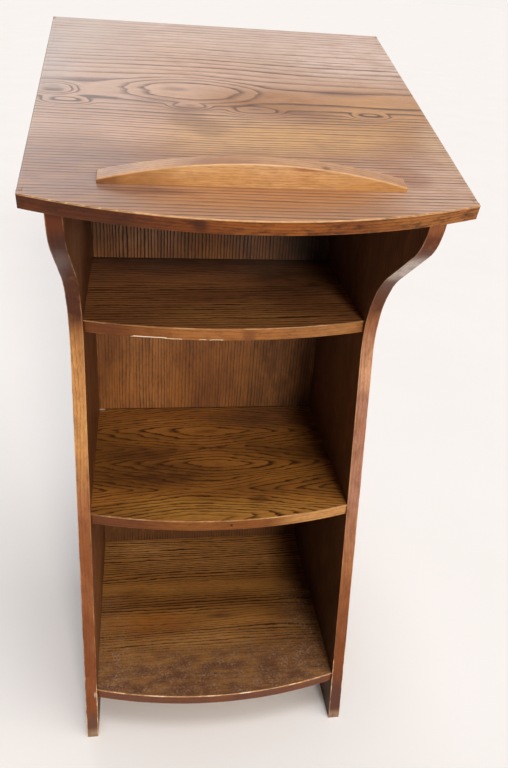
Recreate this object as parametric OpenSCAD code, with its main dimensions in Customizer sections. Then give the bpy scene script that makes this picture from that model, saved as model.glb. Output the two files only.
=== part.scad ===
// Atlas stand: a sloped reading top with a book stop, on two flared side panels
// that carry three bowed shelves and a back panel.
// Millimetres. +Z is up, the reader stands on the -Y side, and the origin is on
// the floor under the middle of the whole stand.

/* [Overall] */
// Height of the reading top's rear edge above the floor
stand_h = 1067; // [1040:1:1150]
// Width across the outsides of the two side panels
body_w = 436; // [400:1:460]
// Depth of the side panels at the floor, from front toe to back edge
body_d = 388; // [370:1:440]

/* [Boards] */
// Thickness of the side panels
side_t = 19; // [18:0.5:25]
// Thickness of the shelves
shelf_t = 18; // [16:0.5:22]
// Thickness of the reading top
top_t = 17; // [16:0.5:22]
// Thickness of the back panel
back_t = 6; // [4:0.5:9]
// Thickness of the solid-wood edging on the side panels and shelves
edging_t = 4; // [2:0.5:8]
// Thickness of the solid-wood edging round the reading top
top_edging_t = 6; // [3:0.5:10]
// Width of the eased arris along the edgings of the shelves and the top
arris = 0.8; // [0.3:0.1:1.5]
// Glue line between an edging and its board
glue_line = 0.05; // [0.02:0.01:0.1]

/* [Side panel outline] */
// Backward lean of the lower front edge, in degrees
lean = 10.5; // [6:0.5:12]
// Height at which the lean ends and the flare begins
flare_z = 652; // [630:1:670]
// Radius of the hollow in the flare
hollow_r = 152; // [130:1:165]
// Angle from upright of the flare's straight underside, in degrees
sweep_a = 53.8; // [45:0.2:58]
// Length of the flare's straight underside
sweep_l = 96; // [70:1:110]
// Radius of the rounded nose under the reading top
nose_r = 82; // [60:1:90]

/* [Shelves] */
// Height of the bottom shelf's upper face
bottom_shelf_z = 92.5; // [60:0.5:140]
// Height of the middle shelf's upper face
middle_shelf_z = 415; // [360:1:460]
// Height of the upper shelf's upper face
upper_shelf_z = 710.5; // [660:0.5:740]
// Set-back of the bottom shelf's front corners from the side panels' front edge
bottom_set_back = 3; // [0:0.5:12]
// Set-back of the middle shelf's front corners
middle_set_back = 0.5; // [0:0.5:12]
// Set-back of the upper shelf's front corners
upper_set_back = 9; // [0:0.5:20]
// How far a shelf's front bows out at the middle
shelf_bow = 28; // [15:1:40]

/* [Reading top] */
// Width of the reading top
top_w = 480; // [470:1:540]
// Length of the reading top up the slope, at its side edges
top_l = 486; // [470:1:520]
// Slope of the reading top, in degrees
top_slope = 15.3; // [12:0.1:18]
// How far the top's rear edge stands behind the side panels, at its upper face
top_rear_over = 5.5; // [1:0.5:15]
// How far the reading top's front bows out at the middle
top_bow = 40; // [25:1:50]

/* [Book stop] */
// Length of the book stop
stop_l = 327; // [260:1:400]
// Thickness of the book stop, up the slope
stop_t = 19; // [16:1:25]
// Height of the book stop at its middle
stop_h = 26.5; // [22:0.5:34]
// Height of the book stop at its ends
stop_end_h = 5; // [4:0.5:14]
// Distance from the line of the top's front corners to the book stop
stop_set_back = 23.5; // [8:0.5:40]
// Distance from the middle to each outer screw of the book stop
stop_screw_x = 100; // [50:1:115]

/* [Back panel] */
// Depth to which the back panel is let into each side panel
rabbet_w = 9; // [6:0.5:12]
// Clearance between the back panel's edges and its rabbets
back_gap = 0.5; // [0.2:0.1:1]
// Height of the back panel's lower edge above the floor
back_lift = 12; // [5:1:30]

/* [Cleats under the top] */
// Width and height of the cleats
cleat_s = 22; // [20:1:28]
// Distance from the side panels' nose to the front ends of the side cleats
cleat_start = 50; // [35:1:80]

/* [Fastenings] */
// Diameter of the shelf dowels
dowel_d = 8; // [6:1:10]
// Length of the shelf dowels
dowel_l = 38; // [30:1:40]
// Depth of a dowel in the side panel
dowel_in = 12; // [8:1:13]
// Distance from a shelf's front corner or rear edge to the nearest dowel
dowel_edge = 45; // [30:1:60]
// Radial clearance of a dowel in its bore
dowel_fit = 0.05; // [0.02:0.01:0.1]
// Spare depth at each end of a dowel
dowel_spare = 0.5; // [0.2:0.1:0.8]
// Shank diameter of the wood screws
screw_d = 4; // [3:0.5:5]
// Head diameter of the wood screws
screw_head_d = 7.6; // [6:0.1:9]
// Length of the wood screws
screw_l = 32; // [28:1:34]
// Clearance round a screw in its hole
screw_fit = 0.08; // [0.02:0.01:0.15]
// Shank diameter of the back panel's nails
nail_d = 1.6; // [1.2:0.1:2]
// Length of the back panel's nails
nail_l = 22; // [18:1:25]
// Number of nails down each side of the back panel
nail_count = 7; // [4:1:9]

/* [Hidden] */

$fn = 96;
cut = 1;                        // how far a cutting shape runs past a face
far = 2000;                     // size of a cutting block that covers the stand
panel_oak = "#6b3a1e";
edging_oak = "#9a5a2c";
top_oak = "#a06a48";
stop_oak = "#b87838";
plain_wood = "#c69c6d";
steel = "#b9bcc0";

inner_w = body_w - 2 * side_t;
inner_x = inner_w / 2;

// The top: its upper face's rear and front lines, as [y, z] with y from the toe
top_rear = [body_d + top_rear_over, stand_h];
top_front = top_rear - top_l * [cos(top_slope), sin(top_slope)];
// The stand's foremost and rearmost points, and the shift that centres them
y_first = top_front[0] - top_bow * cos(top_slope);
y_last = top_rear[0] + top_t * sin(top_slope);
toe_y = -(y_first + y_last) / 2;

// Points of the front outline, for an outline set in by d behind the front edge
function back_of(a) = [cos(a), -sin(a)];   // normal into the panel, leaning back by a
function toe(d) = [d / cos(lean), 0];
lean_end = [flare_z * tan(lean), flare_z];
hollow_c = lean_end - hollow_r * back_of(lean);
nose_c = hollow_c + (hollow_r + nose_r) * back_of(-sweep_a) + sweep_l * [-sin(sweep_a), cos(sweep_a)];
function hollow_start(d) = hollow_c + (hollow_r + d) * back_of(lean);
function sweep_start(d) = hollow_c + (hollow_r + d) * back_of(-sweep_a);
function sweep_end(d) = nose_c - (nose_r - d) * back_of(-sweep_a);
function nose_end(d) = nose_c - [nose_r - d, 0];
function nose_corner(d) = nose_c - (nose_r - d) / cos(sweep_a / 2) * back_of(-sweep_a / 2);
// The front edge at height z: on the lean, or on the hollow above it
function edge_y(z) = z <= hollow_start(0)[1] ? z * tan(lean)
    : hollow_c[0] + sqrt(pow(hollow_r, 2) - pow(z - hollow_c[1], 2));

// The back panel
rabbet_d = back_t;
back_face = body_d - back_t;
back_w = inner_w + 2 * (rabbet_w - back_gap);
nail_x = inner_x + (rabbet_w - back_gap) / 2;

// The shelves: [upper face's height, set-back]
upper = [upper_shelf_z, upper_set_back];
middle = [middle_shelf_z, middle_set_back];
bottom = [bottom_shelf_z, bottom_set_back];
SHELVES = [upper, middle, bottom];
function corner_y(s) = edge_y(s[0]) + s[1];
function bow_r(w, bow) = (pow(w / 2, 2) + pow(bow, 2)) / (2 * bow);
shelf_r = bow_r(inner_w, shelf_bow);
function dowel_ys(s) = [corner_y(s) + dowel_edge,
    (corner_y(s) + back_face) / 2,
    back_face - dowel_edge];

// Along the slope from the line of the top's front corners
top_r = bow_r(top_w, top_bow);
cleat_mid = cleat_s / 2;
cleat_gap = 1;                  // gap between the side cleats and the rear cleat
// How far up the slope a point lies that is at depth y and d below the upper face
function slope_at(y, d) = (y - top_front[0] - d * sin(top_slope)) / cos(top_slope);
side_cleat_s = slope_at(nose_end(0)[0], 0) + cleat_start;
side_cleat_l = slope_at(back_face - cleat_s, top_t + cleat_s) - side_cleat_s - cleat_gap;
rear_screw_s = slope_at(back_face - cleat_mid, top_t + cleat_mid);
rear_nail_z = top_front[1] + rear_screw_s * sin(top_slope) - (top_t + cleat_mid) * cos(top_slope);
// Where the fastenings sit, as parts of a side cleat's length or of the inner width
CLEAT_SPOTS = [0.15, 0.5, 0.85];
stagger = 0.07;                 // keeps the side and top screws of a cleat apart
REAR_SPOTS = [-0.36, 0, 0.36];
REAR_NAIL_SPOTS = [-0.2, 0.2];

// Fastenings
dowel_ease = 1;                 // chamfer at a dowel's ends
screw_rim = 0.6;                // thickness of a screw head's rim
screw_cone = (screw_head_d - screw_d) / 2 + screw_rim;
nail_head_t = 0.8;              // thickness of a nail's head
nail_low = back_lift + 25;      // height of the lowest and the highest side nails
nail_high = stand_h - 75;

// ---- placing ----

// Draws children in the stand's frame from a frame whose y starts at the toe
module from_toe() {
    translate([0, toe_y, 0]) children();
}

// Turns an outline drawn in [y, z] and extruded up into a board that lies along X
module upright() {
    rotate([90, 0, 90]) children();
}

// The frame of the top's upper face: X across, Y up the slope, Z out of the face
module on_slope() {
    from_toe() translate([0, top_front[0], top_front[1]]) rotate([top_slope, 0, 0]) children();
}

// Everything on or above the underside of the top, lowered by gap
module above_underside(gap = 0) {
    on_slope() translate([-far / 2, -far / 2, -top_t - gap]) cube([far, far, far]);
}

// ---- fastenings ----

// Dowel along Z with eased ends, from z = 0 up
module dowel() {
    r = dowel_d / 2;
    rotate_extrude() polygon([[0, 0], [r - dowel_ease, 0], [r, dowel_ease],
        [r, dowel_l - dowel_ease], [r - dowel_ease, dowel_l], [0, dowel_l]]);
}

// Countersunk wood screw that points up, its head's face at z = 0
module wood_screw(slack = 0) {
    r = screw_d / 2 + slack;
    head_r = screw_head_d / 2 + slack;
    rotate_extrude() polygon([[0, 0], [head_r, 0], [head_r, screw_rim], [r, screw_cone],
        [r, screw_l - screw_d + slack], [0, screw_l + slack]]);
}

// The hole for such a screw, open below its head
module screw_hole() {
    wood_screw(screw_fit);
    translate([0, 0, -cut]) cylinder(h = cut + screw_rim, r = screw_head_d / 2 + screw_fit);
}

// Flat-headed nail that points to -Y, its head's face at y = 0
module nail(slack = 0) {
    r = nail_d / 2 + slack;
    head_r = nail_d + slack;
    rotate([90, 0, 0]) rotate_extrude() polygon([[0, -slack], [head_r, -slack],
        [head_r, nail_head_t + slack], [r, nail_head_t + slack], [r, nail_l - nail_d],
        [0, nail_l + slack]]);
}

// All dowels of one shelf, or the bores for them
module shelf_dowels(s) {
    for (x = [-1, 1], y = dowel_ys(s))
        from_toe() translate([x * (inner_x + dowel_in), y, s[0] - shelf_t / 2])
            rotate([0, -90 * x, 0]) dowel();
}

module dowel_bores(s) {
    reach = dowel_l + 2 * dowel_spare;
    for (x = [-1, 1], y = dowel_ys(s))
        from_toe() translate([x * (inner_x + dowel_in + dowel_spare), y, s[0] - shelf_t / 2])
            rotate([0, -90 * x, 0]) cylinder(h = reach, r = dowel_d / 2 + dowel_fit);
}

// Nails of the back panel: down both sides, into the shelves and the rear cleat
module back_nails(slack = 0) {
    for (x = [-1, 1], k = [0 : 1 / (nail_count - 1) : 1])
        from_toe() translate([x * nail_x, body_d, nail_low + (nail_high - nail_low) * k])
            nail(slack);
    for (x = REAR_SPOTS, s = SHELVES)
        from_toe() translate([x * inner_w, body_d, s[0] - shelf_t / 2]) nail(slack);
    for (x = REAR_NAIL_SPOTS)
        from_toe() translate([x * inner_w, body_d, rear_nail_z]) nail(slack);
}

// Screws from the side cleats into the side panels
module side_screws(hole = false) {
    for (x = [-1, 1], k = CLEAT_SPOTS)
        on_slope() translate([x * (inner_x - cleat_s), side_cleat_s + (k - stagger) * side_cleat_l,
                -top_t - cleat_mid]) rotate([0, 90 * x, 0])
            if (hole) screw_hole(); else wood_screw();
}

// Screws up through the side and rear cleats into the top
module top_screws(hole = false) {
    for (x = [-1, 1], k = CLEAT_SPOTS)
        on_slope() translate([x * (inner_x - cleat_mid), side_cleat_s + (k + stagger) * side_cleat_l,
                -top_t - cleat_s])
            if (hole) screw_hole(); else wood_screw();
    for (x = REAR_SPOTS)
        on_slope() translate([x * inner_w, rear_screw_s, -top_t - cleat_s])
            if (hole) screw_hole(); else wood_screw();
}

// Screws up through the top into the book stop
module stop_screws(hole = false) {
    for (x = [-1, 0, 1])
        on_slope() translate([x * stop_screw_x, stop_set_back + stop_t / 2, -top_t])
            if (hole) screw_hole(); else wood_screw();
}

// ---- side panels ----

// A board t thick with the panel's outline, its front set in by d, from x = 0
module panel_blank(d, t) {
    head_z = stand_h + cut;
    upright() difference() {
        linear_extrude(t) polygon([toe(d), hollow_start(d), sweep_start(d), sweep_end(d),
            nose_end(d), [nose_end(d)[0], head_z], [body_d, head_z], [body_d, 0]]);
        translate([hollow_c[0], hollow_c[1], -cut]) cylinder(h = t + 2 * cut, r = hollow_r + d);
    }
    upright() intersection() {
        translate([nose_c[0], nose_c[1], 0]) cylinder(h = t, r = nose_r - d);
        linear_extrude(t) polygon([nose_c, nose_end(d), nose_corner(d), sweep_end(d)]);
    }
}

module right_panel() {
    difference() {
        from_toe() translate([inner_x, 0, 0]) panel_blank(edging_t + glue_line, side_t);
        above_underside();
        // Rabbet for the back panel
        from_toe() translate([inner_x - cut, back_face, -cut])
            cube([rabbet_w + cut, rabbet_d + cut, stand_h + 2 * cut]);
        for (s = SHELVES) dowel_bores(s);
        side_screws(hole = true);
        back_nails(screw_fit);
    }
}

// The edging follows the whole front outline: lean, hollow, sweep and nose
module right_edging() {
    difference() {
        from_toe() translate([inner_x, 0, 0]) panel_blank(0, side_t);
        from_toe() translate([inner_x - cut, 0, 0]) panel_blank(edging_t, side_t + 2 * cut);
        above_underside();
    }
}

module left_side_panel() {
    color(panel_oak) mirror([1, 0, 0]) right_panel();
}

module right_side_panel() {
    color(panel_oak) right_panel();
}

module left_side_edging() {
    color(edging_oak) mirror([1, 0, 0]) right_edging();
}

module right_side_edging() {
    color(edging_oak) right_edging();
}

// ---- edgings of the shelves and the top ----

// Cross-section of an edging w wide: its show face along x = 0, arrises eased
module edging_section(w, t) {
    polygon([[arris, 0], [0, arris], [0, w - arris], [arris, w], [t, w], [t, 0]]);
}

// Straight length of edging along +Y, its show face at x = 0
module edging_run(l, w, t) {
    translate([0, l, 0]) rotate([90, 0, 0]) linear_extrude(l) edging_section(w, t);
}

// ---- bowed boards ----

// Disc that bounds a bowed front: its foremost point at y = 0, set in by d
module bow_disc(r, d, h) {
    translate([0, r, 0]) cylinder(h = h, r = r - d, $fn = 360);
}

// Bowed edging w long, its corners at y = 0, its underside at z = 0
module bowed_edging(w, bow, h, t) {
    r = bow_r(w, bow);
    spare = 2;
    half = asin(w / 2 / r) + spare;
    intersection() {
        translate([0, r - bow, 0]) rotate([0, 0, -90 - half]) rotate_extrude(angle = 2 * half, $fn = 360)
            translate([r, 0]) mirror([1, 0]) edging_section(h, t);
        translate([-w / 2, -bow - cut, -cut]) cube([w, bow + t + 2 * cut, h + 2 * cut]);
    }
}

module shelf_board(s) {
    depth = back_face - corner_y(s);
    difference() {
        from_toe() translate([0, corner_y(s), s[0] - shelf_t]) intersection() {
            translate([-inner_x, -shelf_bow, 0]) cube([inner_w, shelf_bow + depth, shelf_t]);
            translate([0, -shelf_bow, 0]) bow_disc(shelf_r, edging_t + glue_line, shelf_t);
        }
        dowel_bores(s);
        back_nails(screw_fit);
    }
}

module shelf_edging(s) {
    from_toe() translate([0, corner_y(s), s[0] - shelf_t])
        bowed_edging(inner_w, shelf_bow, shelf_t, edging_t);
}

module upper_shelf() {
    color(panel_oak) shelf_board(upper);
}

module middle_shelf() {
    color(panel_oak) shelf_board(middle);
}

module bottom_shelf() {
    color(panel_oak) shelf_board(bottom);
}

module upper_shelf_edging() {
    color(edging_oak) shelf_edging(upper);
}

module middle_shelf_edging() {
    color(edging_oak) shelf_edging(middle);
}

module bottom_shelf_edging() {
    color(edging_oak) shelf_edging(bottom);
}

module upper_shelf_dowels() {
    color(plain_wood) shelf_dowels(upper);
}

module middle_shelf_dowels() {
    color(plain_wood) shelf_dowels(middle);
}

module bottom_shelf_dowels() {
    color(plain_wood) shelf_dowels(bottom);
}

// ---- back panel ----

module back_panel() {
    color(panel_oak) difference() {
        from_toe() translate([-back_w / 2, back_face, back_lift])
            cube([back_w, back_t, stand_h - back_lift]);
        above_underside(back_gap);
        back_nails(screw_fit);
    }
}

module back_panel_nails() {
    color(steel) back_nails();
}

// ---- reading top ----

// What lies inside the bowed front edging of the top
module behind_top_edging() {
    translate([0, -top_bow, -top_t - cut]) bow_disc(top_r, top_edging_t + glue_line, top_t + 2 * cut);
}

module top_board() {
    side = top_edging_t + glue_line;
    color(top_oak) difference() {
        on_slope() intersection() {
            translate([side - top_w / 2, -top_bow, -top_t])
                cube([top_w - 2 * side, top_bow + top_l - side, top_t]);
            behind_top_edging();
        }
        top_screws(hole = true);
        stop_screws(hole = true);
    }
}

module top_front_edging() {
    color(edging_oak) on_slope() translate([0, 0, -top_t])
        bowed_edging(top_w, top_bow, top_t, top_edging_t);
}

// Side edging of the top, on the right
module top_side_edging() {
    on_slope() intersection() {
        translate([top_w / 2, -top_bow, -top_t]) mirror([1, 0, 0])
            edging_run(top_bow + top_l - top_edging_t - glue_line, top_t, top_edging_t);
        behind_top_edging();
    }
}

module top_left_edging() {
    color(edging_oak) mirror([1, 0, 0]) top_side_edging();
}

module top_right_edging() {
    color(edging_oak) top_side_edging();
}

module top_rear_edging() {
    color(edging_oak) on_slope() translate([-top_w / 2, top_l, -top_t]) rotate([0, 0, -90])
        edging_run(top_w, top_t, top_edging_t);
}

// ---- book stop ----

module book_stop() {
    rise = stop_h - stop_end_h;
    r = bow_r(stop_l, rise);
    color(stop_oak) difference() {
        on_slope() translate([0, stop_set_back, 0]) intersection() {
            translate([-stop_l / 2, 0, 0]) cube([stop_l, stop_t, stop_h]);
            translate([0, -cut, stop_h - r]) rotate([-90, 0, 0])
                cylinder(h = stop_t + 2 * cut, r = r, $fn = 360);
        }
        stop_screws(hole = true);
    }
}

module book_stop_screws() {
    color(steel) stop_screws();
}

// ---- cleats ----

module side_cleat() {
    difference() {
        on_slope() translate([inner_x - cleat_s, side_cleat_s, -top_t - cleat_s])
            cube([cleat_s, side_cleat_l, cleat_s]);
        side_screws(hole = true);
        top_screws(hole = true);
    }
}

module left_top_cleat() {
    color(plain_wood) mirror([1, 0, 0]) side_cleat();
}

module right_top_cleat() {
    color(plain_wood) side_cleat();
}

// The rear cleat stands upright against the back panel, its top and bottom cut to the slope
module rear_top_cleat() {
    color(plain_wood) difference() {
        from_toe() translate([-inner_x, back_face - cleat_s, top_front[1]])
            cube([inner_w, cleat_s, stand_h - top_front[1]]);
        above_underside();
        on_slope() translate([-far / 2, -far / 2, -top_t - cleat_s - far]) cube([far, far, far]);
        top_screws(hole = true);
        back_nails(screw_fit);
    }
}

module cleat_side_screws() {
    color(steel) side_screws();
}

module cleat_top_screws() {
    color(steel) top_screws();
}

left_side_panel();
right_side_panel();
left_side_edging();
right_side_edging();
upper_shelf();
middle_shelf();
bottom_shelf();
upper_shelf_edging();
middle_shelf_edging();
bottom_shelf_edging();
upper_shelf_dowels();
middle_shelf_dowels();
bottom_shelf_dowels();
back_panel();
back_panel_nails();
top_board();
top_front_edging();
top_left_edging();
top_right_edging();
top_rear_edging();
book_stop();
book_stop_screws();
left_top_cleat();
right_top_cleat();
rear_top_cleat();
cleat_side_screws();
cleat_top_screws();
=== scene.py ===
import math

import bmesh
import bpy
from mathutils import Matrix, Vector, noise

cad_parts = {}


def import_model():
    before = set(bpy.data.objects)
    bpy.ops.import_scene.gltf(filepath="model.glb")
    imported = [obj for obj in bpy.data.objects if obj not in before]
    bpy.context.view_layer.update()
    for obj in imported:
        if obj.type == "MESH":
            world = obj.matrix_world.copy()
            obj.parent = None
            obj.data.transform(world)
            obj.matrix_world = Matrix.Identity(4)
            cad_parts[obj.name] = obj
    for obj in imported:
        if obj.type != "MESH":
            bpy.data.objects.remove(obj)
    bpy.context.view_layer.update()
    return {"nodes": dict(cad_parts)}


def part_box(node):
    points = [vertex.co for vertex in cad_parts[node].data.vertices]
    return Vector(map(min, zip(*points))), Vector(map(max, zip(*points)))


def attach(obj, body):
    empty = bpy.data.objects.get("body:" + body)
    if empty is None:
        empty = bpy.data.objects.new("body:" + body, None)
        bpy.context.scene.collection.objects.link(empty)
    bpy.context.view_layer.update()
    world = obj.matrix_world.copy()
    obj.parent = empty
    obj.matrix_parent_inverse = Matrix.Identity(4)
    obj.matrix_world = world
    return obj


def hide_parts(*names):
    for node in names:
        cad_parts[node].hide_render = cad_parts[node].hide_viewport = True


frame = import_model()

# ---- sizes of the stand, in metres ----
TOP_SLOPE = math.radians(15.3)
TOP_FRONT = Vector((0, -0.21733, 0.93876))    # line of the top's front corners
TOP_NORMAL = Vector((0, -math.sin(TOP_SLOPE), math.cos(TOP_SLOPE)))
UP_SLOPE = Vector((0, math.cos(TOP_SLOPE), math.sin(TOP_SLOPE)))
SIDE_X = 0.199                                # inner faces of the side panels
BACK_Y = 0.2399                               # inner face of the back panel
SHELF_T = 0.018
UPPER_Z, MIDDLE_Z, BOTTOM_Z = 0.7105, 0.415, 0.0925
X, Y, Z = range(3)
METRE = 1000                                  # in mm, the unit of the wood's figure


# ---- colour and nodes ----

def paint(text):
    """Linear colour of an sRGB hex value."""
    parts = [int(text[i:i + 2], 16) / 255 for i in (1, 3, 5)]
    return tuple(c / 12.92 if c <= 0.04045 else ((c + 0.055) / 1.055) ** 2.4 for c in parts) + (1.0,)


def port(ports, key):
    """A socket by number, or the first one in use that has the name."""
    if isinstance(key, int):
        return ports[key]
    return next(p for p in ports if p.enabled and p.name == key)


def add(tree, kind, links=None, stops=None, **settings):
    """Adds a node with its settings, its values or links by input, and its ramp stops."""
    made = tree.nodes.new("ShaderNode" + kind)
    for key, value in settings.items():
        setattr(made, key, value)
    for key, value in (links or {}).items():
        if isinstance(value, bpy.types.Node):
            value = next(p for p in value.outputs if p.enabled)
        if isinstance(value, bpy.types.NodeSocket):
            tree.links.new(value, port(made.inputs, key))
        else:
            port(made.inputs, key).default_value = value
    for at, (place, value) in enumerate(stops or ()):
        ramp = made.color_ramp.elements
        element = ramp[at] if at < len(ramp) else ramp.new(place)
        element.position = place
        element.color = (value, value, value, 1)
    return made


def blank(name):
    """A material with an empty tree, its shader and its output."""
    made = bpy.data.materials.new(name)
    made.use_nodes = True
    tree = made.node_tree
    tree.nodes.clear()
    shader = add(tree, "BsdfPrincipled")
    add(tree, "OutputMaterial", {"Surface": shader})
    return made, tree, shader


# ---- oak: how the board lies, its rings and its pores ----

# The axes that run along the grain, across it and through the board, and whether they are
# turned with the top's slope
TOP_LAY = ("XYZ", True)
SHELF_LAY = ("XYZ", False)
SIDE_LAY = ("ZYX", False)
BACK_LAY = ("ZXY", False)
TOP_EDGING_LAY = ("XZY", True)
SHELF_EDGING_LAY = ("XZY", False)
SIDE_EDGING_LAY = ("ZXY", False)


def lie(tree, order, on_slope):
    """Coordinates (along the grain, across it, through the board) in metres."""
    place = add(tree, "TexCoord").outputs["Object"]
    if on_slope:
        turn = Matrix.Rotation(-TOP_SLOPE, 3, "X")
        place = add(tree, "Mapping", {"Vector": place, "Rotation": (-TOP_SLOPE, 0, 0),
                                      "Location": tuple(-(turn @ TOP_FRONT))})
    parts = add(tree, "SeparateXYZ", {0: place})
    return add(tree, "CombineXYZ", {at: parts.outputs[axis] for at, axis in enumerate(order)})


def streaks(tree, grain, length, width, detail, roughness, offset):
    """Soft noise, drawn out along the grain: a streak is about length by width, in mm. The
    offset shifts it, so that no two of them match."""
    stretched = add(tree, "Mapping", {"Vector": grain, "Location": (offset, offset, offset),
                                      "Scale": (METRE / length, METRE / width, METRE / width)})
    return add(tree, "TexNoise", {"Vector": stretched, "Scale": 1.0, "Detail": detail,
                                  "Roughness": roughness})


def far_from(tree, grain, along, across, reach, width):
    """How far a point of the board lies from a place, squared: 1 at the reach or the width."""
    centred = add(tree, "Mapping", {"Vector": grain, "Scale": (METRE / reach, METRE / width, 0),
                                    "Location": (-along / reach, -across / width, 0)})
    return add(tree, "VectorMath", {0: centred, 1: centred}, operation="DOT_PRODUCT").outputs["Value"]


BELL = 0.3679        # 1/e, which raised to a squared distance falls off as a bell does
TIP_ROUND = 0.8      # how round the tip of a cathedral is, in rings
TIP_BLEND = 1.0      # how softly its rings run into straight ones
HEART_BLEND = 1.2    # how softly two cathedrals run into each other


def rings(tree, grain, spacing, hearts, swells, loops, wander, flow, slack, run, beyond):
    """Growth rings as a rising count, spacing mm apart. Each heart (along, across, reach, count,
    flat) is the middle of a cathedral: count rings close round it, reach apart along the grain,
    and run straight far from it; flat is how wide its plain middle is, in rings. At each swell
    (along, across, reach, width, more) the plain middle opens and the rings bow out round it.
    Each loop (along, across, reach, width, height) is a plain patch with height rings crowded
    round it. A ring wavers by wander rings, drawn out over run mm, the grain sways by flow mm,
    and slack is how many rings crowd or thin out over some 30 mm. Past a heart the rings lie
    beyond times as close as before it. All lengths are in mm."""
    drift = streaks(tree, grain, 260, 60, detail=1.5, roughness=0.4, offset=3.1)
    swayed = add(tree, "Math", {0: drift, 1: -0.5}, operation="ADD")
    sway = add(tree, "Math", {0: swayed, 1: flow / METRE}, operation="MULTIPLY")
    swell = 0.0
    for *place, more in swells:
        fall = add(tree, "Math", {0: BELL, 1: far_from(tree, grain, *place)}, operation="POWER")
        swell = add(tree, "Math", {0: fall, 1: more, 2: swell}, operation="MULTIPLY_ADD")
    count = None
    for along, across, reach, most, flat in hearts:
        centred = add(tree, "Mapping", {"Vector": grain, "Location": (-along / METRE, -across / METRE, 0)})
        parts = add(tree, "SeparateXYZ", {0: centred})
        side = add(tree, "Math", {0: parts.outputs["Y"], 1: sway}, operation="ADD")
        past = add(tree, "Math", {0: side, 1: 0.0}, operation="MAXIMUM")
        wide = add(tree, "Math", {0: past, 1: beyond - 1.0, 2: side}, operation="MULTIPLY_ADD")
        far = add(tree, "Math", {0: wide, 1: METRE / spacing}, operation="MULTIPLY")
        plain = add(tree, "Math", {0: swell, 1: flat}, operation="ADD")
        bow = add(tree, "CombineXYZ", {0: far, 1: plain})
        bowed = add(tree, "VectorMath", {0: bow}, operation="LENGTH").outputs["Value"]
        across_count = add(tree, "Math", {0: bowed, 1: swell}, operation="SUBTRACT")
        out = add(tree, "Math", {0: parts.outputs["X"], 1: METRE / reach}, operation="MULTIPLY")
        tip = add(tree, "CombineXYZ", {0: out, 1: TIP_ROUND})
        out_count = add(tree, "VectorMath", {0: tip}, operation="LENGTH").outputs["Value"]
        held = add(tree, "Math", {0: out_count, 1: most, 2: TIP_BLEND}, operation="SMOOTH_MIN")
        here = add(tree, "Math", {0: across_count, 1: held}, operation="ADD")
        if count is not None:
            here = add(tree, "Math", {0: count, 1: here, 2: HEART_BLEND}, operation="SMOOTH_MIN")
        count = here
    for *place, height in loops:
        far = far_from(tree, grain, *place)
        steep = add(tree, "Math", {0: far, 1: far}, operation="MULTIPLY")
        fall = add(tree, "Math", {0: BELL, 1: steep}, operation="POWER")
        count = add(tree, "Math", {0: fall, 1: -height, 2: count}, operation="MULTIPLY_ADD")
    jag = streaks(tree, grain, run, 9, detail=3.0, roughness=0.6, offset=7.7)
    jagged = add(tree, "Math", {0: jag, 1: wander, 2: count}, operation="MULTIPLY_ADD")
    slow = streaks(tree, grain, 400, 34, detail=1.0, roughness=0.5, offset=1.3)
    return add(tree, "Math", {0: slow, 1: slack, 2: jagged}, operation="MULTIPLY_ADD")


STAIN_DEPTH = 5      # how far a stain reaches into a board, in mm


def spot(tree, grain, along, across, reach, width, face):
    """A soft patch on the board: 1 in its middle, 0 past its reach and width, in mm. With a face
    given (its place through the board), the patch lies on that face and not on the other."""
    deep = 0 if face is None else 1 / STAIN_DEPTH
    centred = add(tree, "Mapping", {"Vector": grain,
                                    "Scale": (METRE / reach, METRE / width, METRE * deep),
                                    "Location": (-along / reach, -across / width, -(face or 0) * deep)})
    far = add(tree, "VectorMath", {0: centred}, operation="LENGTH").outputs["Value"]
    return add(tree, "MapRange", {"Value": far, "From Min": 1.0, "From Max": 0.25},
               interpolation_type="SMOOTHSTEP")


# How dark a ring is, from its start to its end
RING = ((0.0, 0.35), (0.06, 1.0), (0.22, 0.6), (0.42, 0.13), (0.93, 0.0), (1.0, 0.35))
STRAIGHT = ((0, 4000, 900, 1, 0.4),)    # a heart so far off that the rings run straight
BAND_DARK, PORE_DARK = 0.9, 0.28        # how much stain the pore bands and single pores took
BAND_DEEP, PORE_DEEP = 0.5, 0.7         # how deep they lie, next to each other
GRIT = "#ac9078"
BARE_OAK, TORN_OAK = "#d9a978", "#fbf0d8"


def pore_bands(tree, grain, count):
    """The band of open pores that a ring opens with. It is bolder in some years, and the fibres
    break it up."""
    part = add(tree, "Math", {0: count}, operation="FRACT")
    ring = add(tree, "Math", {0: count}, operation="FLOOR")
    year = add(tree, "TexWhiteNoise", {"W": ring}, noise_dimensions="1D")
    good = add(tree, "MapRange", {"Value": year.outputs["Value"], "To Min": 0.45})
    band = add(tree, "ValToRGB", {"Fac": part}, stops=RING)
    fibre = streaks(tree, grain, 60, 2.6, detail=3.0, roughness=0.6, offset=5.2)
    broken = add(tree, "MapRange", {"Value": fibre, "From Min": 0.3, "From Max": 0.7, "To Min": 0.6,
                                    "To Max": 1.15})
    drawn = add(tree, "Math", {0: band, 1: broken}, operation="MULTIPLY")
    return add(tree, "Math", {0: drawn, 1: good}, operation="MULTIPLY")


def stain_and_paint_light(tree, grain, colour, stains_and_painted_light, face):
    """The colour with each patch over it, ragged at its edges: real stains, and on some boards painted light,
    shade and sheen.
    """
    uneven = streaks(tree, grain, 38, 16, detail=3.0, roughness=0.6, offset=6.1)
    for *place, tone, strength in stains_and_painted_light:
        ragged = add(tree, "MapRange", {"Value": uneven, "From Min": 0.3, "From Max": 0.6,
                                        "To Min": 0.45 * strength, "To Max": strength})
        held = add(tree, "Math", {0: spot(tree, grain, *place, face), 1: ragged}, operation="MULTIPLY")
        colour = add(tree, "Mix", {"Factor": held, "A": colour, "B": paint(tone)}, data_type="RGBA")
    return colour


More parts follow.
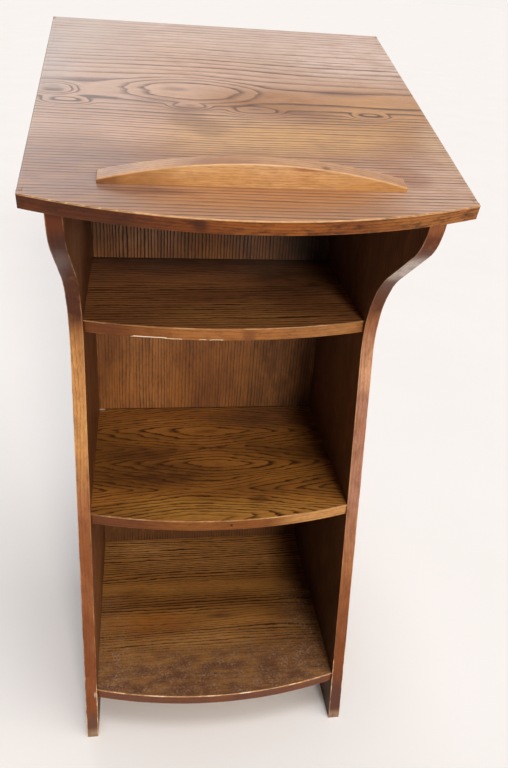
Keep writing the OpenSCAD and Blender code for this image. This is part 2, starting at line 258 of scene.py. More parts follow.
def gritty(tree, grain, colour, dull, dusty, face):
    """The colour and the roughness with grit over them in each dusty patch. Its clumps are about
    3 mm wide, and lie thicker in drifts of about 17 mm."""
    for *place, share in dusty:
        grit = add(tree, "TexNoise", {"Vector": grain, "Scale": 300.0, "Detail": 5.0, "Roughness": 0.7})
        drifted = add(tree, "TexNoise", {"Vector": grain, "Scale": 60.0, "Detail": 5.0, "Roughness": 0.7})
        grains = add(tree, "MapRange", {"Value": grit, "From Min": 0.48, "From Max": 0.64})
        drifts = add(tree, "MapRange", {"Value": drifted, "From Min": 0.38, "From Max": 0.64,
                                        "To Min": 0.1 * share, "To Max": share})
        film = add(tree, "Math", {0: grains, 1: drifts}, operation="MULTIPLY")
        held = add(tree, "Math", {0: film, 1: spot(tree, grain, *place, face)}, operation="MULTIPLY")
        colour = add(tree, "Mix", {"Factor": held, "A": colour, "B": paint(GRIT)}, data_type="RGBA")
        dull = add(tree, "Math", {0: held, 1: 0.25, 2: dull}, operation="MULTIPLY_ADD")
    return colour, dull


def rubbed(tree, grain, colour):
    """The colour with bare wood where "worn" is marked, and pale torn wood where it is above 1."""
    worn = add(tree, "Attribute", attribute_name="worn").outputs["Fac"]
    scuffed = streaks(tree, grain, 9, 2.5, detail=3.0, roughness=0.6, offset=9.4)
    patchy = add(tree, "MapRange", {"Value": scuffed, "From Min": 0.3, "From Max": 0.56, "To Min": 0.5})
    bare = add(tree, "Math", {0: worn, 1: patchy}, operation="MULTIPLY", use_clamp=True)
    colour = add(tree, "Mix", {"Factor": bare, "A": colour, "B": paint(BARE_OAK)}, data_type="RGBA")
    fresh = add(tree, "Math", {0: worn, 1: -1.0}, operation="ADD", use_clamp=True)
    return add(tree, "Mix", {"Factor": fresh, "A": colour, "B": paint(TORN_OAK)}, data_type="RGBA")


def oak(name, lay, tones, spacing, hearts=STRAIGHT, swells=(), loops=(), wander=0.7, flow=14.0,
        slack=2.2, run=45, beyond=1.0, line=1.0, pore=1.0, rough=0.42, lacquer=0.25, shine=0.5,
        blotch=0.0, calm=(), stains_and_painted_light=(), dusty=(), face=None):
    """Stained oak under satin lacquer. tones are the wood between the pores, the pore bands and
    a second stain tone that comes and goes over a hand's width. Each ring opens with a band of
    open pores that took the stain dark, and fades to plain wood; line and pore are how bold the
    bands and the single pores are. In the calm patches (along, across, reach, width, share) the
    rings fade, or are bolder with a share below 0, and in the dusty ones grit lies.
    stains_and_painted_light are patches (along, across, reach, width, tone, strength): real
    stains, and on some boards painted light, shade and sheen; blotch is how much of the dark tone
    the wood took in blotches. All of them lie on the board's face, where it is given. rough,
    lacquer and shine are the roughness, the clear coat and the wood's own gloss."""
    made, tree, shader = blank(name)
    grain = lie(tree, *lay)
    count = rings(tree, grain, spacing, hearts, swells, loops, wander, flow, slack, run, beyond)
    line_mark = pore_bands(tree, grain, count)
    # real pores are 0.3 mm wide; drawn 0.9 mm wide so that they show
    pores = streaks(tree, grain, 14, 0.9, detail=2.0, roughness=0.6, offset=0.4)
    pore_mark = add(tree, "MapRange", {"Value": pores, "From Min": 0.46, "From Max": 0.72})
    for *place, share in calm:
        patch = spot(tree, grain, *place, face)
        faint = add(tree, "Math", {0: patch, 1: -share, 2: 1.0}, operation="MULTIPLY_ADD")
        line_mark = add(tree, "Math", {0: line_mark, 1: faint}, operation="MULTIPLY")
    line_part = add(tree, "Math", {0: line_mark, 1: BAND_DARK * line}, operation="MULTIPLY")
    pore_part = add(tree, "Math", {0: pore_mark, 1: PORE_DARK * pore}, operation="MULTIPLY")
    dark = add(tree, "Math", {0: line_part, 1: pore_part}, operation="ADD", use_clamp=True)

    plain, pored, second = (paint(tone) for tone in tones)
    cloud = streaks(tree, grain, 170, 55, detail=2.0, roughness=0.5, offset=2.6)
    cloudy = add(tree, "MapRange", {"Value": cloud, "From Min": 0.36, "From Max": 0.66})
    colour = add(tree, "Mix", {"Factor": cloudy, "A": plain, "B": second}, data_type="RGBA")
    colour = stain_and_paint_light(tree, grain, colour, stains_and_painted_light, face)
    if blotch:
        soaked = streaks(tree, grain, 26, 9, detail=3.0, roughness=0.65, offset=8.8)
        held = add(tree, "MapRange", {"Value": soaked, "From Min": 0.46, "From Max": 0.68, "To Max": blotch})
        colour = add(tree, "Mix", {"Factor": held, "A": colour, "B": pored}, data_type="RGBA")
    colour = add(tree, "Mix", {"Factor": dark, "A": colour, "B": pored}, data_type="RGBA")

    hand = streaks(tree, grain, 90, 60, detail=3.0, roughness=0.6, offset=4.4)
    polish = add(tree, "MapRange", {"Value": hand, "From Min": 0.3, "From Max": 0.7, "To Min": rough - 0.07,
                                    "To Max": rough + 0.09})
    dull = add(tree, "Math", {0: dark, 1: 0.12, 2: polish}, operation="MULTIPLY_ADD")
    colour, dull = gritty(tree, grain, colour, dull, dusty, face)
    colour = rubbed(tree, grain, colour)
    depth = add(tree, "Math", {0: pore_mark, 1: -PORE_DEEP}, operation="MULTIPLY")
    relief = add(tree, "Math", {0: line_mark, 1: -BAND_DEEP, 2: depth}, operation="MULTIPLY_ADD")
    bump = add(tree, "Bump", {"Height": relief, "Strength": 0.35, "Distance": 0.0002})
    tree.links.new(port(colour.outputs, "Result"), shader.inputs["Base Color"])
    tree.links.new(dull.outputs[0], shader.inputs["Roughness"])
    tree.links.new(bump.outputs[0], shader.inputs["Normal"])
    shader.inputs["Specular IOR Level"].default_value = shine
    shader.inputs["Coat Weight"].default_value = lacquer
    shader.inputs["Coat Roughness"].default_value = 0.3
    return made


# Flat-cut oak veneer, the palest and glossiest face: thin straight rings that bow out round a
# plain heart and small closed figures. Along its left and rear it is pale and pinkish grey, partly
# haze in the finish and partly painted sheen, the reflection of the pale surround painted into
# its colour. It is golden brown where hands and books have rubbed it
top_veneer = oak("stained_oak_veneer_top", TOP_LAY, ("#bf8f68", "#54301d", "#ae7d57"), spacing=5.7,
                 hearts=((0, 243, 900, 1, 8.0),),
                 swells=((-58, 248, 110, 115, 4.0), (-220, 235, 50, 60, 1.0)),
                 loops=((-54, 256, 82, 37, 2.35), (-60, 208, 26, 11, 2.0), (23, 202, 34, 14, 2.0),
                        (166, 203, 26, 11, 1.8), (-222, 246, 28, 18, 2.6), (-206, 210, 30, 13, 2.0)),
                 wander=0.55, flow=8.0, slack=1.2, run=110, beyond=0.6, line=1.55, rough=0.36,
                 lacquer=0.8, face=0,
                 calm=((-54, 256, 120, 56, 0.15), (110, 205, 190, 36, -0.35), (-190, 225, 70, 50, -0.5),
                       (0, 420, 900, 150, 0.3), (190, 300, 170, 70, 0.3)),
                 # the pale pinkish grey patches along the left and rear are partly painted sheen, the
                 # reflection of the pale surround, and partly haze in the finish
                 stains_and_painted_light=((-110, 430, 420, 180, "#ac9181", 1.0), (190, 420, 300, 190, "#e5c8b8", 1.1),
                         (-215, 240, 150, 240, "#b7917a", 1.0), (-30, 325, 175, 240, "#d8b39c", 1.0),
                         (0, 470, 210, 130, "#dec2b2", 1.0), (-244, 350, 62, 220, "#94796a", 0.9),
                         (-120, 195, 70, 66, "#bd9782", 0.9), (-190, 50, 150, 120, "#94705f", 1.1),
                         (205, 40, 130, 110, "#d3ae96", 1.0), (40, 232, 130, 60, "#a8713c", 1.0),
                         (180, 215, 110, 100, "#ca955f", 1.0), (20, 4, 170, 50, "#b17a4a", 1.0),
                         (-20, 138, 130, 70, "#deb07c", 0.9), (-124, 146, 64, 56, "#d6ac92", 0.8),
                         (90, 140, 160, 60, "#dca96a", 0.9), (-66, 182, 30, 36, "#7c5236", 0.5),
                         (-40, 154, 34, 32, "#7c5236", 0.55), (0, 84, 60, 30, "#94643c", 0.6),
                         (178, 52, 30, 34, "#8f4f24", 0.6), (240, 130, 40, 90, "#e0bc98", 0.8),
                         (160, 75, 30, 60, "#a86c3c", 0.5), (184, 120, 22, 60, "#a86c3c", 0.3),
                         (-110, 12, 76, 9, "#7a5240", 0.9), (140, 268, 60, 14, "#8d6450", 0.8),
                         (-76, 258, 26, 9, "#8f6a58", 0.7), (-60, 204, 44, 12, "#855c48", 0.7),
                         (78, 205, 44, 9, "#7c5238", 0.8), (-100, 222, 40, 16, "#94705c", 0.6)))
# The underside of the top has the veneer without the gloss
underside_veneer = oak("dull_oak_veneer_underside", TOP_LAY, ("#8f6240", "#4a2918", "#7c5335"), spacing=5.4,
                       hearts=((0, 200, 900, 2, 1.0),), rough=0.6, lacquer=0.0, shine=0.2)
# The same veneer on the shelves, darker and more golden
upper_veneer = oak("stained_oak_veneer_upper_shelf", SHELF_LAY, ("#b27748", "#45280f", "#94603c"),
                   spacing=8.0, hearts=((-260, 122, 150, 4, 1.2),), loops=((120, 150, 80, 20, 2.0),),
                   wander=1.0, line=2.0, pore=1.7, rough=0.45, lacquer=0.12, shine=0.3,
                   face=METRE * UPPER_Z, calm=((0, 150, 260, 40, 0.6),),
                   # painted shade: the darker band at the rear (0, 205), the near-black bands at the rear
                   # joint (0, 232 and 0, 238) and the dark patch at the right rear (130, 155) stand for shade
                   # under the top and beside the right side
                   stains_and_painted_light=((0, 205, 320, 60, "#704a34", 0.9), (0, 0, 170, 60, "#cc9352", 0.8),
                           (40, 50, 60, 30, "#cc9352", 0.5), (130, 155, 110, 90, "#3a2414", 0.8),
                           (0, 232, 900, 34, "#120905", 0.7), (0, 238, 900, 9, "#120905", 2.0)))
middle_veneer = oak("stained_oak_veneer_middle_shelf", SHELF_LAY, ("#c18038", "#4a280e", "#99642b"),
                    spacing=7.6, hearts=((-5, 153, 42, 9, 1.6), (0, 58, 38, 9, 1.8), (-50, -86, 40, 9, 1.0)),
                    wander=1.2, flow=24.0, line=1.6, pore=1.7, rough=0.45, lacquer=0.12, shine=0.3,
                    face=METRE * MIDDLE_Z,
                    stains_and_painted_light=((-95, 30, 150, 54, "#5c361b", 0.9), (-120, 88, 110, 34, "#643a1e", 0.8),
                            (0, 122, 90, 30, "#d08c42", 0.5), (40, -104, 60, 14, "#e8ac58", 0.8),
                            (0, -72, 40, 10, "#6a401c", 0.5), (10, -66, 240, 38, "#d89c4a", 0.9),
                            (120, -10, 80, 36, "#7d4c20", 0.2), (-90, -45, 90, 30, "#e0a048", 0.7),
                            (62, -42, 26, 14, "#57321a", 0.8), (110, 200, 130, 60, "#805438", 0.7),
                            # painted shadow: the dark patch along the right side (202, 130) is the shadow of
                            # the right side panel, and the thin dark line along the rear (0, 240) is painted
                            # shade in the joint with the back
                            (-90, 180, 110, 50, "#d89448", 0.6), (202, 130, 90, 170, "#1c0e06", 0.8),
                            (0, 240, 900, 4, "#1a0d07", 2.0), (-194, 237, 7, 4, "#efe6da", 4.0)))
bottom_veneer = oak("stained_oak_veneer_bottom_shelf", SHELF_LAY, ("#c48a44", "#43240d", "#a67038"),
                    spacing=6.4, hearts=((0, -900, 900, 1, 0.4),), wander=1.1, flow=16.0, slack=4.0,
                    line=2.2, pore=1.7, rough=0.5, lacquer=0.12, shine=0.3, face=METRE * BOTTOM_Z,
                    calm=((0, 97, 900, 24, 0.8), (0, 20, 900, 30, 0.6), (0, -100, 900, 96, 0.75),
                          (-20, 62, 260, 20, -0.8)),
                    stains_and_painted_light=((20, 23, 46, 9, "#6c4034", 0.8), (-110, 14, 90, 40, "#b06a2c", 0.7),
                            (0, 62, 260, 22, "#a06a30", 0.5), (0, -128, 600, 140, "#704a30", 1.0),
                            (-20, -30, 150, 26, "#d69a50", 0.6), (0, 190, 300, 80, "#d89c58", 1.0),
                            (-120, 215, 110, 40, "#eab06a", 0.8), (-140, 92, 50, 20, "#7a4e26", 0.5),
                            # painted shadow: the dark patch along the right side (202, 90) is the shadow of
                            # the right side panel
                            (150, 20, 60, 20, "#6c4020", 0.6), (202, 90, 90, 200, "#1c0e06", 0.8)),
                    dusty=((0, -112, 520, 140, 0.75), (170, -10, 60, 170, 0.7), (-185, -40, 60, 200, 0.8)))
# Straight-grained veneer inside and outside the sides. The right one's inner face is painted dark as painted
# shade, and the left one's inner face has paler patches as painted light from the right
left_side_veneer = oak("stained_oak_veneer_left_side_painted_light", SIDE_LAY, ("#824e2a", "#341d10", "#643a20"),
                       spacing=7.5, hearts=((500, 40, 160, 4, 1.0),), wander=0.8, flow=30.0,
                       line=1.2, lacquer=0.1, shine=0.25, blotch=0.3, face=-METRE * SIDE_X,
                       # painted light: the paler patches on the left inner face
                       stains_and_painted_light=((250, 40, 200, 300, "#a86c46", 1.0), (830, -40, 120, 160, "#a06c4c", 0.8)))
right_side_veneer = oak("stained_oak_veneer_right_side_painted_shade", SIDE_LAY, ("#824e2a", "#341d10", "#643a20"),
                        spacing=7.5, hearts=((420, 60, 160, 4, 1.0),), wander=0.8, flow=30.0,
                        line=1.2, lacquer=0.1, shine=0.25, blotch=0.3, face=METRE * SIDE_X,
                        # painted shade: the dark patches over the right inner face
                        stains_and_painted_light=((500, 50, 1600, 1600, "#52301a", 1.0), (180, 40, 260, 400, "#2c160a", 1.0)))
# Quarter-cut veneer: close upright ribs of pores, paler and bolder towards the top
back_veneer = oak("ribbed_oak_veneer_back", BACK_LAY, ("#98602f", "#2b190c", "#784926"), spacing=5.6,
                  hearts=((0, 3000, 2000, 1, 0.4),), wander=0.6, flow=5.0, slack=2.0, line=2.8,
                  lacquer=0.1, shine=0.25, blotch=0.3, face=METRE * BACK_Y,
                  calm=((150, 0, 90, 900, 0.95), (520, 0, 260, 900, 0.65)),
                  # painted light and shade: the paler patch at the left of the middle compartment (500, -110)
                  # is painted light, the darker one at its right (500, 150) and the dark patch at the upper
                  # right (820, 180) are painted shadow of the right side, and the dark strip at the foot
                  # (120, 0) is painted shade behind the bottom shelf
                  stains_and_painted_light=((500, -110, 300, 66, "#b07440", 0.7), (500, 150, 400, 110, "#4e2e12", 0.8),
                          (820, -110, 120, 150, "#dca680", 0.9), (820, 70, 120, 100, "#a47863", 0.8),
                          (820, 180, 220, 120, "#33200f", 1.3), (120, 0, 130, 900, "#5f3b1e", 1.3)))
# Solid oak, bent round the fronts: straighter and more orange than the veneer. The noses are
# darker with painted shade under the top, the sweeps below them carry painted highlights, and the lower part
# is darker with painted shade towards the floor, with dark marks on the feet
side_edging_oak = oak("stained_solid_oak_side_edging", SIDE_EDGING_LAY, ("#a56c42", "#5a2f16", "#864c28"),
                      spacing=5.0, wander=0.6, line=0.6, rough=0.36, lacquer=0.05, shine=0.15, blotch=0.4,
                      # painted shade under the top: the dark patches from 768 to 900 mm up; painted
                      # highlights: the pale (828) and grey (836) bands on the sweeps; painted shade towards
                      # the floor: the darkening low down (30, 0)
                      stains_and_painted_light=((590, -208, 170, 60, "#cf9558", 1.2), (520, 208, 240, 60, "#ab7860", 1.2),
                              (645, 208, 60, 60, "#cf9a74", 1.0), (900, 0, 110, 900, "#5e2b10", 1.4),
                              (778, -208, 106, 60, "#47230f", 1.7), (836, -208, 26, 60, "#50382c", 1.0),
                              (868, -208, 30, 60, "#3f1c0c", 1.6), (768, 208, 62, 60, "#593018", 1.6),
                              (828, 208, 38, 60, "#c2b3a8", 1.6), (912, 208, 26, 60, "#a86a3e", 0.8),
                              (30, 0, 330, 900, "#7a421e", 1.5), (26, 208, 90, 60, "#54342a", 1.4),
                              (10, -208, 56, 60, "#5f4234", 1.2), (4, 0, 18, 900, "#b79a80", 0.5),
                              (86, -202, 8, 3, "#d8c8ba", 0.9)))
shelf_edging_oak = oak("stained_solid_oak_shelf_edging", SHELF_EDGING_LAY, ("#8a521c", "#4a260e", "#77431a"),
                       spacing=5.0, wander=0.6, line=0.6, rough=0.48, lacquer=0.0, shine=0.18, blotch=0.35,
                       stains_and_painted_light=((20, 701, 190, 30, "#a56a36", 1.1), (150, 701, 90, 30, "#a5703e", 1.2),
                               (170, 406, 110, 30, "#c08c52", 1.2), (-170, 406, 110, 30, "#6a391a", 1.2),
                               (-180, 701, 60, 30, "#6a391a", 0.9), (28, 701, 14, 30, "#6a3a1c", 0.7),
                               (0, 83, 400, 30, "#6a4130", 1.2), (12, 406, 3, 3, "#35190a", 1.5)))
top_edging_oak = oak("stained_solid_oak_top_edging", TOP_EDGING_LAY, ("#98561f", "#3c1c0b", "#733a12"),
                     spacing=4.0, wander=0.8, line=0.8, rough=0.44, lacquer=0.0, shine=0.18, blotch=0.95,
                     stains_and_painted_light=((-200, 0, 150, 60, "#54280f", 1.3), (200, 0, 130, 60, "#a1652f", 1.2),
                             (-62, -8, 12, 12, "#32160a", 0.8)))
# The stop is paler and more golden, and its upper face is glossier
stop_oak = oak("golden_solid_oak_book_stop", TOP_EDGING_LAY, ("#e8be8c", "#94602e", "#d09a5e"), spacing=3.0,
               wander=0.6, line=0.6, pore=1.8, rough=0.4, lacquer=0.3, shine=0.3, blotch=0.35,
               stains_and_painted_light=((-158, 0, 30, 60, "#6f4426", 1.4), (-120, 0, 50, 60, "#a06a36", 0.8),
                       (60, 24, 44, 6, "#9a5a2c", 1.0)))
stop_top_oak = oak("golden_solid_oak_book_stop_top", TOP_LAY, ("#cd9e74", "#7c4f30", "#bb8a62"), spacing=4.0,
                   wander=0.6, line=0.8, rough=0.4, lacquer=0.5, blotch=0.3,
                   stains_and_painted_light=((72, 28, 7, 6, "#6e4628", 1.1), (-40, 30, 60, 20, "#9a6a4a", 0.8),
                           (-140, 30, 30, 20, "#ab8873", 1.0)))
# Unfinished beech under the top and in the bores: dry, pale and dull
raw_beech = oak("raw_beech_cleats_and_dowels", SHELF_LAY, ("#c69c6d", "#a67c4e", "#bb9060"), spacing=5.0,
                line=0.4, pore=0.4, rough=0.6, lacquer=0.0)


def steel():
    """Zinc-plated steel: a dull grey shine with draw marks."""
    made, tree, shader = blank("zinc_plated_steel")
    place = add(tree, "TexCoord").outputs["Object"]
    # real draw marks are finer; drawn about 1 mm apart so that they show
    marks = add(tree, "TexNoise", {"Vector": place, "Scale": 900.0, "Detail": 3.0})
    shine = add(tree, "MapRange", {"Value": marks, "To Min": 0.3, "To Max": 0.5})
    tone = add(tree, "Mix", {"Factor": marks, "A": paint("#a9adb2"), "B": paint("#c6c8cb")}, data_type="RGBA")
    tree.links.new(port(tone.outputs, "Result"), shader.inputs["Base Color"])
    tree.links.new(shine.outputs[0], shader.inputs["Roughness"])
    shader.inputs["Metallic"].default_value = 1.0
    return made


zinc_steel = steel()


# ---- pieces ----

BEND, ARRIS, SQUARE = 0.3, 0.5, 1.2     # radians between faces of a flat, at an arris, at a corner
LOOKS = 0.9                             # share of a face's normal in the direction that it looks
SHARP_ANGLE = math.radians(38)
SIDE_SLICE, SHELF_SLICE, TOP_SLICE = 0.006, 0.003, 0.004    # how finely the edgings are cut along
SIDE_EASE, EDGE_EASE, STOP_EASE = 0.0013, 0.0004, 0.0010    # widths that the arrises are eased by
HIGHEST = 0.004                         # how far below the highest point an upper arris reaches
STRETCH, NICK = 0.03, 0.006             # lengths over which wear comes and goes
WORN, UNEVEN = 0.35, 1.2                # how worn an arris is on the whole, and how unevenly


def board_mesh(node):
    """A clean copy of a CAD node: doubles merged, flat faces whole."""
    bm = bmesh.new()
    bm.from_mesh(frame["nodes"][node].data)
    bmesh.ops.remove_doubles(bm, verts=bm.verts, dist=5e-6)
    bmesh.ops.dissolve_limit(bm, angle_limit=0.002, verts=bm.verts, edges=bm.edges)
    bm.verts.layers.float.new("worn")
    return bm


def cut_at(bm, axis, places):
    """Cuts the mesh square to an axis at each place, so that wear has points to start from."""
    normal = Vector([float(i == axis) for i in range(3)])
    for place in places:
        bmesh.ops.bisect_plane(bm, geom=bm.verts[:] + bm.edges[:] + bm.faces[:], dist=1e-6,
                               plane_co=normal * place, plane_no=normal)


def slice_along(bm, axis, step):
    """Cuts the mesh every step along an axis, so that wear can come and go there."""
    low = min(v.co[axis] for v in bm.verts)
    high = max(v.co[axis] for v in bm.verts)
    cut_at(bm, axis, [low + k * step for k in range(1, int((high - low) / step) + 1)])


def ease(bm, width, chosen, segments, through, margin):
    """Rounds the edges that chosen(edge) names, and gives back the points it made. A line of
    points is drawn a margin beside them on the flats square or level to through, so that what
    happens to an arris fades out there."""
    edges = [e for e in bm.edges if len(e.link_faces) == 2 and e.calc_face_angle(0) > ARRIS and chosen(e)]
    done = bmesh.ops.bevel(bm, geom=edges, offset=width, offset_type="OFFSET", segments=segments,
                           profile=0.5, affect="EDGES", material=-1, clamp_overlap=True)
    bm.normal_update()
    rounded = set(done["faces"])
    flats = [f for v in done["verts"] for f in v.link_faces
             if f not in rounded and not 0.25 < abs(f.normal.dot(through)) < 0.95]
    seen = set(flats)
    while flats:
        for edge in flats.pop().edges:
            for face in edge.link_faces:
                if face not in rounded and face not in seen and edge.calc_face_angle(0) < BEND:
                    seen.add(face)
                    flats.append(face)
    bmesh.ops.inset_region(bm, faces=list(seen), thickness=margin, use_even_offset=False, use_boundary=True)
    bm.normal_update()
    return list({v: None for f in done["faces"] for v in f.verts})


def wear(bm, points, press, seed, least, most):
    """Presses the arrises in by up to press, more in some stretches, and marks them bare, from
    least to most."""
    mark = bm.verts.layers.float["worn"]
    for v in points:
        share = noise.noise(v.co / STRETCH + Vector((seed, 0, 0))) + 0.5 * noise.noise(v.co / NICK)
        share = min(1.0, max(0.0, WORN + UNEVEN * share))
        v.co -= v.normal * press * share
        v[mark] = least + (most - least) * share


def upper(points, way):
    """The points of the arris that lies highest along way."""
    high = max(v.co.dot(way) for v in points)
    return [v for v in points if v.co.dot(way) > high - HIGHEST]


UPPER_UNDER = UPPER_Z - SHELF_T
SPLINTER_CUTS = (UPPER_UNDER + 0.0030, UPPER_UNDER + 0.0038)    # keep the face above them whole
SPLINTERS = ((-0.136, -0.078, 0.0025), (-0.078, -0.063, 0.0013), (-0.041, -0.032, 0.0014),
             (-0.028, -0.008, 0.0015))
BLUNT, RAGGED, TEETH = 0.3, 0.4, 90     # shape of a splinter's ends and its edge, teeth per metre
TORN = 2.6                              # mark of torn wood, where 1 is bare


def chip(bm, spans, bottom):
    """Tears splinters out of the lower front arris: spans are (from, to, height), along X."""
    mark = bm.verts.layers.float["worn"]
    fronts = {}
    for v in bm.verts:
        at = round(v.co.x / SHELF_SLICE)
        fronts[at] = min(fronts.get(at, 1.0), v.co.y)
    for v in bm.verts:
        for start, end, height in spans:
            if start < v.co.x < end:
                way = math.sin(math.pi * (v.co.x - start) / (end - start)) ** BLUNT
                torn = height * way * (1.0 + RAGGED * noise.noise(Vector((v.co.x * TEETH, 0, 0))))
                edge = bottom + torn - (v.co.y - fronts[round(v.co.x / SHELF_SLICE)])
                if v.co.z < edge:
                    v.co.z = edge
                    v[mark] = TORN


def piece(name, bm, node, finish, other=None, takes_other=None):
    """Makes a mesh the piece that stands for a CAD node, inside the node's box. The faces that
    takes_other(normal) names have the other finish."""
    bm.normal_update()
    low, high = (Vector(corner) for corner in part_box(node))
    for v in bm.verts:
        v.co = Vector([min(max(v.co[i], low[i]), high[i]) for i in range(3)])
    if takes_other:
        for face in bm.faces:
            face.material_index = int(takes_other(face.normal))
    mesh = bpy.data.meshes.new(name)
    bm.to_mesh(mesh)
    bm.free()
    mesh.polygons.foreach_set("use_smooth", [True] * len(mesh.polygons))
    mesh.set_sharp_from_angle(angle=SHARP_ANGLE)
    made = bpy.data.objects.new(name, mesh)
    bpy.context.scene.collection.objects.link(made)
    for matter in filter(None, (finish, other)):
        mesh.materials.append(matter)
    level = made.modifiers.new("even shading", "WEIGHTED_NORMAL")
    level.keep_sharp = True
    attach(made, "root")
    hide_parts(node)


def eased_edge(edge):
    """An edge of a sawn chamfer: the arrises against the board are square and stay sharp."""
    return edge.calc_face_angle(0) < SQUARE


def front_edge(edge):
    """An edge between the swept front of a side edging and one of its sides."""
    front = [f for f in edge.link_faces if f.normal.y < -0.3 and abs(f.normal.x) < 0.5]
    return len(front) == 1 and any(abs(f.normal.x) > LOOKS for f in edge.link_faces)


def above_top(edge):
    """An edge of the book stop that doesn't lie on the top."""
    return all((v.co - TOP_FRONT).dot(TOP_NORMAL) > 0.001 for v in edge.verts)


FOOT = 0.12                             # as high as knocks from the floor reach

# The side panels are plain boards, sharp along the joint with their edging
for side, side_veneer, seed, foot_seed in (("left", left_side_veneer, 3.0, 8.0),
                                           ("right", right_side_veneer, 8.0, 13.0)):
    bm = board_mesh(side + "_side_panel")
    piece(side + "_side_veneered_panel", bm, side + "_side_panel", side_veneer)
    bm = board_mesh(side + "_side_edging")
    slice_along(bm, Z, SIDE_SLICE)
    points = ease(bm, SIDE_EASE, front_edge, segments=3, through=Vector((1, 0, 0)), margin=0.0015)
    wear(bm, points, press=0.0003, seed=seed, least=0.0, most=0.7)
    wear(bm, [v for v in points if v.co.z < FOOT], press=0.0003, seed=foot_seed, least=0.1, most=2.2)
    piece(side + "_side_swept_edging", bm, side + "_side_edging", side_edging_oak,
          side_veneer, lambda n: abs(n.x) > LOOKS)

# The shelf edgings are rubbed along their upper arris, and the bottom one most
for shelf, finish, seed, least, most in (("upper", upper_veneer, 1.0, 0.3, 1.0),
                                         ("middle", middle_veneer, 5.0, 0.3, 1.0),
                                         ("bottom", bottom_veneer, 9.0, 0.6, 1.7)):
    bm = board_mesh(shelf + "_shelf")
    piece(shelf + "_shelf_veneered_board", bm, shelf + "_shelf", finish)
    bm = board_mesh(shelf + "_shelf_edging")
    if shelf == "upper":
        cut_at(bm, Z, SPLINTER_CUTS)
    slice_along(bm, X, SHELF_SLICE)
    points = ease(bm, EDGE_EASE, eased_edge, segments=2, through=Vector((0, 0, 1)), margin=0.0010)
    wear(bm, points, press=0.0001, seed=seed, least=0.0, most=0.2)
    wear(bm, upper(points, Vector((0, 0, 1))), press=0.0, seed=seed, least=least, most=most)
    if shelf == "upper":
        chip(bm, SPLINTERS, UPPER_UNDER)
    piece(shelf + "_shelf_bowed_edging", bm, shelf + "_shelf_edging", shelf_edging_oak,
          finish, lambda n: n.z > LOOKS)

bm = board_mesh("top_board")
piece("top_veneered_board", bm, "top_board", top_veneer, underside_veneer,
      lambda n: n.dot(TOP_NORMAL) < -LOOKS)
for where in ("front", "left", "right", "rear"):
    bm = board_mesh("top_" + where + "_edging")
    slice_along(bm, Y if where in ("left", "right") else X, TOP_SLICE)
    points = ease(bm, EDGE_EASE, eased_edge, segments=2, through=TOP_NORMAL, margin=0.0010)
    wear(bm, points, press=0.0001, seed=2.0, least=0.0, most=0.2)
    if where == "front":
        # the upper front arris is marked nearly bare all along: partly wear, partly a painted highlight along
        # the arris
        wear(bm, upper(points, TOP_NORMAL), press=0.0, seed=2.0, least=0.9, most=1.0)
    piece("top_" + where + "_lipping", bm, "top_" + where + "_edging", top_edging_oak,
          top_veneer, lambda n: n.dot(TOP_NORMAL) > LOOKS)

bm = board_mesh("book_stop")
slice_along(bm, X, TOP_SLICE)
points = ease(bm, STOP_EASE, above_top, segments=3, through=UP_SLOPE, margin=0.0010)
wear(bm, points, press=0.0002, seed=4.0, least=0.4, most=0.8)
# the glossier upper face takes in part of its rounded arrises
piece("book_stop_arched_strip", bm, "book_stop", stop_oak, stop_top_oak,
      lambda n: n.dot(TOP_NORMAL) > 0.8)

# The rest show the solids themselves
for finish, nodes in ((back_veneer, ("back_panel",)),
                      (raw_beech, ("left_top_cleat", "right_top_cleat", "rear_top_cleat",
                                   "upper_shelf_dowels", "middle_shelf_dowels", "bottom_shelf_dowels")),
                      (zinc_steel, ("back_panel_nails", "book_stop_screws", "cleat_side_screws",
                                    "cleat_top_screws"))):
    for node in nodes:
        solid = frame["nodes"][node]
        if not solid.material_slots:
            solid.data.materials.append(finish)
        for held in solid.material_slots:
            held.material = finish


# ---- floor, light and camera ----

FLOOR_LIFT = 0.07                            # light of its own that the eye sees on the floor
FILL, IN_GLOSS, TO_EYE = 0.14, 0.42, 0.84    # strength of the surround, and what gloss and eye add


def floor():
    """Plain pale floor, wide enough to fill every view."""
    bm = bmesh.new()
    bmesh.ops.create_circle(bm, cap_ends=True, segments=64, radius=60)
    mesh = bpy.data.meshes.new("pale_floor")
    bm.to_mesh(mesh)
    bm.free()
    made = bpy.data.objects.new("pale_floor", mesh)
    bpy.context.scene.collection.objects.link(made)
    matter, tree, shader = blank("pale_floor_paint")
    place = add(tree, "TexCoord").outputs["Object"]
    cloud = add(tree, "TexNoise", {"Vector": place, "Scale": 3.0, "Detail": 3.0})
    tone = add(tree, "Mix", {"Factor": cloud, "A": paint("#f3f1ef"), "B": paint("#f8f7f6")}, data_type="RGBA")
    tree.links.new(port(tone.outputs, "Result"), shader.inputs["Base Color"])
    shader.inputs["Roughness"].default_value = 0.9
    shader.inputs["Specular IOR Level"].default_value = 0.0
    # to the eye the floor is white, and it keeps the stand's shadow
    ray = add(tree, "LightPath")
    lift = add(tree, "Math", {0: ray.outputs["Is Camera Ray"], 1: FLOOR_LIFT}, operation="MULTIPLY")
    tree.links.new(lift.outputs[0], shader.inputs["Emission Strength"])
    shader.inputs["Emission Color"].default_value = paint("#f6f4f3")
    mesh.materials.append(matter)


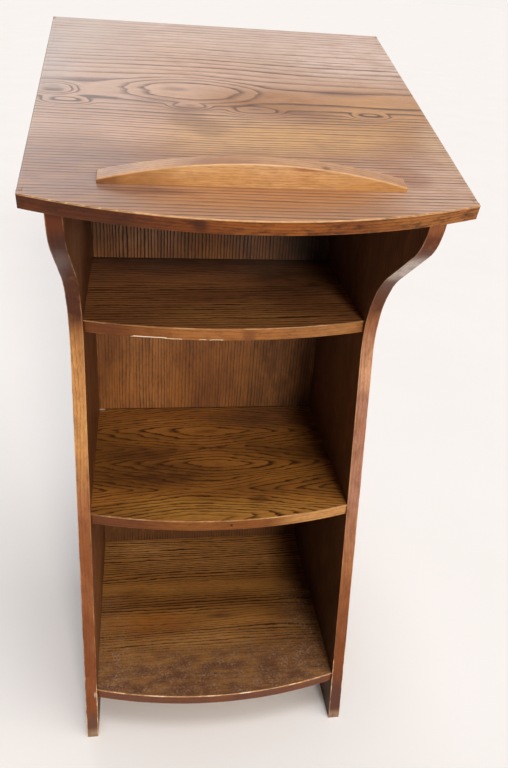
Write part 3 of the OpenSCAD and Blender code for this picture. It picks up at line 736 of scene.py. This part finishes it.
def world():
    """A pale surround: white to the eye, softer in the gloss, and a low fill on the wood."""
    made = bpy.data.worlds.new("pale_surround")
    bpy.context.scene.world = made
    made.use_nodes = True
    tree = made.node_tree
    tree.nodes.clear()
    ray = add(tree, "LightPath")
    gloss = add(tree, "Math", {0: ray.outputs["Is Glossy Ray"], 1: IN_GLOSS, 2: FILL},
                operation="MULTIPLY_ADD")
    strength = add(tree, "Math", {0: ray.outputs["Is Camera Ray"], 1: TO_EYE, 2: gloss},
                   operation="MULTIPLY_ADD")
    surround = add(tree, "Background", {"Color": paint("#faf5f1"), "Strength": strength})
    add(tree, "OutputWorld", {"Surface": surround})


def lamp(name, azimuth, elevation, strength, spread, tint):
    """A wide soft sun from azimuth (0 is the reader's side, 90 the right) and elevation."""
    data = bpy.data.lights.new(name, "SUN")
    data.energy = strength
    data.angle = math.radians(spread)
    data.color = paint(tint)[:3]
    made = bpy.data.objects.new(name, data)
    a, e = math.radians(azimuth), math.radians(elevation)
    away = Vector((math.sin(a) * math.cos(e), -math.cos(a) * math.cos(e), math.sin(e)))
    made.rotation_euler = away.to_track_quat("Z", "Y").to_euler()
    made.location = away * 3
    bpy.context.scene.collection.objects.link(made)


EYE = Vector((-0.11956, -0.95496, 1.14095))
YAW, PITCH, ROLL = 0.17223, 0.50899, 0.07359    # radians
LENS, SENSOR = 34.54, 36                        # mm


def camera():
    """A camera at the reader's side, a little left of the middle, that looks down on the stand."""
    ahead = Vector((math.sin(YAW) * math.cos(PITCH), math.cos(YAW) * math.cos(PITCH), -math.sin(PITCH)))
    level = Vector((math.cos(YAW), -math.sin(YAW), 0))
    above = level.cross(ahead)
    right = math.cos(ROLL) * level + math.sin(ROLL) * above
    up = math.cos(ROLL) * above - math.sin(ROLL) * level
    data = bpy.data.cameras.new("camera")
    data.lens = LENS
    data.sensor_width = SENSOR
    data.clip_start = 0.05
    data.clip_end = 200
    made = bpy.data.objects.new("camera", data)
    made.matrix_world = Matrix((right, up, -ahead)).transposed().to_4x4()
    made.location = EYE
    bpy.context.scene.collection.objects.link(made)
    bpy.context.scene.camera = made


floor()
world()
lamp("key", 9, 20, 1.9, 12, "#fff6ea")
lamp("side", 55, 40, 1.1, 60, "#fff8f0")
lamp("rear", 196, 36, 0.28, 26, "#ffffff")
lamp("overhead", 10, 82, 1.15, 30, "#fbfaff")
camera()
bpy.context.scene.view_settings.view_transform = "Standard"
